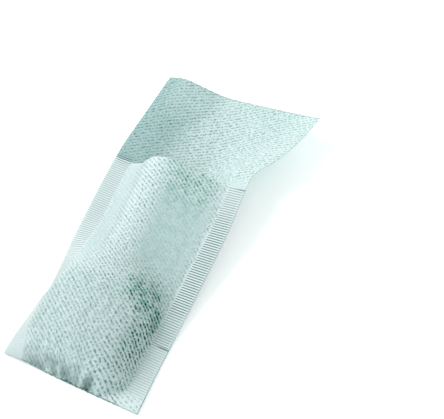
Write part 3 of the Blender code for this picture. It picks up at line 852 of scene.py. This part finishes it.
def between_papers(u, v, share):
    """A point in metres at a share of the height from the floor of the pocket to the front."""
    i = np.interp(v, room_v, np.arange(len(room_v)))
    j = np.interp(u, room_u, np.arange(len(room_u)))
    i0, j0 = min(int(i), len(room_v) - 2), min(int(j), len(room_u) - 2)
    weights = np.outer([1 - (i - i0), i - i0], [1 - (j - j0), j - j0])
    low = np.einsum("ij,ijk", weights, floor[i0:i0 + 2, j0:j0 + 2])
    high = np.einsum("ij,ijk", weights, ceiling[i0:i0 + 2, j0:j0 + 2])
    height = np.linalg.norm(high - low)
    margin = min(CLEAR / height, WIDEST_MARGIN)
    x, z = low + (high - low) * (margin + (1 - 2 * margin) * min(max(share, 0.0), 1.0))
    return Vector((x - MIDDLE_X, along(v) + BOTTOM_Y, z)) * MM


# %% The mound under the leaves
HEAP_TONE, HEAP_SWELL, HEAP_SQUARE, HEAP_GRAIN = 0.1, 0.38, 0.5, 1.8


def in_heap(p, q, r):
    """u, v and share of the height, for a point of a unit ball spread into the heap."""
    middle_u, half_u = sum(TEA_U) / 2, (TEA_U[1] - TEA_U[0]) / 2
    middle_v, half_v = sum(TEA_V) / 2, (TEA_V[1] - TEA_V[0]) / 2
    spread = max(abs(p), abs(q)) / max(math.hypot(p, q), 1e-6)
    square = 1 + HEAP_SQUARE * (1 / max(spread, 0.71) - 1)
    share = max(r, 0.0) ** HEAP_SWELL
    return middle_u + half_u * p * square, middle_v + half_v * q * square, share


bm = bmesh.new()
tone = bm.verts.layers.float.new("tone")
bmesh.ops.create_uvsphere(bm, u_segments=56, v_segments=28, radius=1.0)
for vertex in bm.verts:
    u, v, share = in_heap(*vertex.co)
    rough = noise.noise(Vector((u / HEAP_GRAIN, v / HEAP_GRAIN, share * 5)))
    vertex.co = between_papers(u, v - 0.5 + rough, share * (0.93 + 0.07 * rough))
    vertex[tone] = HEAP_TONE
tea_heap = new_piece("tea_heap", bm)
print("faces of the mound:", len(tea_heap.data.polygons))


# %% One leaf, doubled until there are enough
LEAVES, USUAL_ROOM = 1024, 12.0
LENGTHS, WIDTHS, BENDS, TILTS = (1.2, 3.4), (0.25, 0.55), (-0.5, 0.5), (-0.06, 0.06)


def leaf_facts():
    """Where a leaf lies, its length, width, bend, heading and tilt, and its shade."""
    turn_about = random.uniform(0, math.tau)
    level = random.uniform(0.05, 0.98)
    reach = math.sqrt(1 - level * level) * random.uniform(0.93, 1.03)
    spot = in_heap(reach * math.cos(turn_about), reach * math.sin(turn_about), level)
    return (*spot, random.uniform(*LENGTHS), random.uniform(*WIDTHS), random.uniform(*BENDS),
            random.uniform(0, math.tau), random.uniform(*TILTS), random.random())


random.seed(7)
bm = bmesh.new()
tone = bm.verts.layers.float.new("tone")
number = bm.verts.layers.int.new("leaf")
bmesh.ops.create_uvsphere(bm, u_segments=5, v_segments=5, radius=1.0)
leaves = 1
while leaves < LEAVES:
    for part in bmesh.ops.duplicate(bm, geom=bm.verts[:] + bm.edges[:] + bm.faces[:])["geom"]:
        if isinstance(part, bmesh.types.BMVert):
            part[number] += leaves
    leaves *= 2
facts = [leaf_facts() for leaf in range(leaves)]
for vertex in bm.verts:
    u, v, share, length, width, bend, heading, tilt, shade = facts[vertex[number]]
    x, y, z = vertex.co
    a, b = z * length / 2, x * width / 2 + bend * z * z
    du = a * math.cos(heading) - b * math.sin(heading)
    dv = a * math.sin(heading) + b * math.cos(heading)
    vertex.co = between_papers(u + du, v + dv, share + y * width / 2 / USUAL_ROOM + tilt * z)
    vertex[tone] = shade
bm.verts.layers.int.remove(number)
bm.from_mesh(tea_heap.data)
bmesh.ops.recalc_face_normals(bm, faces=bm.faces)
for face in bm.faces:
    face.smooth = True
bm.to_mesh(tea_heap.data)
bm.free()
print("leaves:", leaves, "tea faces:", len(tea_heap.data.polygons))

# %% [markdown]
# ## Tea finish
# Dry black tea is almost black, with brown, reddish and a few golden bits. One number per leaf
# picks its place on a ramp of those colours, and a fine noise breaks it up.

# %% Finish of the tea
leaves = Finish(bpy.data.materials.new("black_tea"))
spot = leaves.node("ShaderNodeTexCoord", {}, {}).outputs["Object"]
grain = leaves.noise(spot, 1800.0, 3.0)
ramp = leaves.node("ShaderNodeValToRGB", {}, {"Fac": leaves.amount("tone") * 0.9 + grain * 0.1})
stops = [(0.0, (0.012, 0.008, 0.006, 1)), (0.45, (0.030, 0.017, 0.011, 1)),
         (0.75, (0.075, 0.034, 0.020, 1)), (0.92, (0.110, 0.080, 0.040, 1)),
         (0.98, (0.330, 0.230, 0.110, 1))]
for place, shade in stops[1:-1]:
    ramp.color_ramp.elements.new(place)
for element, (place, shade) in zip(ramp.color_ramp.elements, stops):
    element.position, element.color = place, shade
bump = leaves.node("ShaderNodeBump", {}, {"Strength": 0.6, "Distance": 0.0001, "Height": grain})
leaves.set(Base_Color=ramp.outputs[0], Roughness=0.6, Specular_IOR_Level=0.35, Normal=bump.outputs[0])
tea_heap.data.materials.append(leaves.block)
print("shades of the tea:", len(ramp.color_ramp.elements))

# %% [markdown]
# ## Table, lamps and camera
# The photo is taken from the lower right, looking down by a little more than fifty degrees, with a
# soft light from the upper left. The table is a plain white floor. It is lightened only where it is
# looked at, by the camera or in a mirror or glass, so it shows white and still keeps the shadow.

# %% Table
bm = bmesh.new()
bmesh.ops.create_grid(bm, x_segments=1, y_segments=1, size=3.0)
table = new_piece("table", bm)
TABLE_LIGHTENED = 0.36
white = Finish(bpy.data.materials.new("white_table"))
white.set(Base_Color=(0.90, 0.90, 0.90, 1), Roughness=0.7)
lighter = white.looked_at().between(0.0, 1.0, 0.0, TABLE_LIGHTENED)
glow = white.node("ShaderNodeEmission", {}, {"Color": (1, 1, 1, 1), "Strength": lighter})
both = white.node("ShaderNodeAddShader", {}, {0: white.shader.outputs[0], 1: glow.outputs[0]})
white.fill(white.output.inputs["Surface"], both.outputs[0])
table.data.materials.append(white.block)
print("table nodes:", len(white.tree.nodes))

# %% Lamps and world
centre = Vector((0, 0, 0.005))
LAMP_DISTANCE, LAMP_SIZE = 1.6, 0.8
WORLD_SEEN, WORLD_LIGHT = 1.0, 0.58


def softbox(name, direction, power, tint):
    """A square lamp that looks at the middle of the bag."""
    data = bpy.data.lights.new(name, "AREA")
    data.shape, data.size, data.energy, data.color = "SQUARE", LAMP_SIZE, power, tint
    lamp = bpy.data.objects.new(name, data)
    lamp.location = centre + Vector(direction).normalized() * LAMP_DISTANCE
    lamp.rotation_euler = (centre - lamp.location).to_track_quat("-Z", "Y").to_euler()
    bpy.context.scene.collection.objects.link(lamp)


softbox("key", (-0.76, -0.08, 0.62), 20.0, (1.0, 0.955, 0.985))
softbox("front fill", (0.25, -0.74, 0.63), 4.0, (0.5, 1.0, 1.0))
softbox("back fill", (-0.10, 0.90, 0.38), 4.5, (0.8, 1.0, 1.0))
world = Finish(bpy.data.worlds.new("studio"), "Background", "World Output")
strength = world.looked_at().between(0.0, 1.0, WORLD_LIGHT, WORLD_SEEN)
world.set(Color=(1, 1, 1, 1), Strength=strength)
bpy.context.scene.world = world.block
bpy.context.scene.view_settings.view_transform = "Standard"
print("lamps:", *(lamp.name for lamp in bpy.data.lights))

# %% Camera
AZIMUTH, ELEVATION, DISTANCE = math.radians(27.076), math.radians(52.487), 0.601185
AIM_X, AIM_Y = 19.319, 106.433
LENS, SENSOR = 110.83, 36.0
flat_part = math.cos(ELEVATION)
look = Vector((-math.sin(AZIMUTH) * flat_part, math.cos(AZIMUTH) * flat_part, -math.sin(ELEVATION)))
aim = Vector(((AIM_X - MIDDLE_X) * MM, (AIM_Y + BOTTOM_Y) * MM, 0.0))
camera_data = bpy.data.cameras.new("camera")
camera_data.lens, camera_data.sensor_width = LENS, SENSOR
camera_data.sensor_fit = "HORIZONTAL"
camera = bpy.data.objects.new("camera", camera_data)
camera.location = aim - look * DISTANCE
camera.rotation_euler = look.to_track_quat("-Z", "Y").to_euler()
bpy.context.scene.collection.objects.link(camera)
bpy.context.scene.camera = camera
print("camera height: %.3f m" % camera.location.z)

# %% [markdown]
# ## Pieces
# Each piece is carried by the root body, and the imported node that it stands for is hidden.

# %% Carry each piece and hide its imported node
for piece, node, slot in ((paper_bag, "filter_bag", "filter_paper"),
                          (tea_heap, "tea_leaves", "black_tea")):
    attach(piece, "root")
    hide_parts(node)
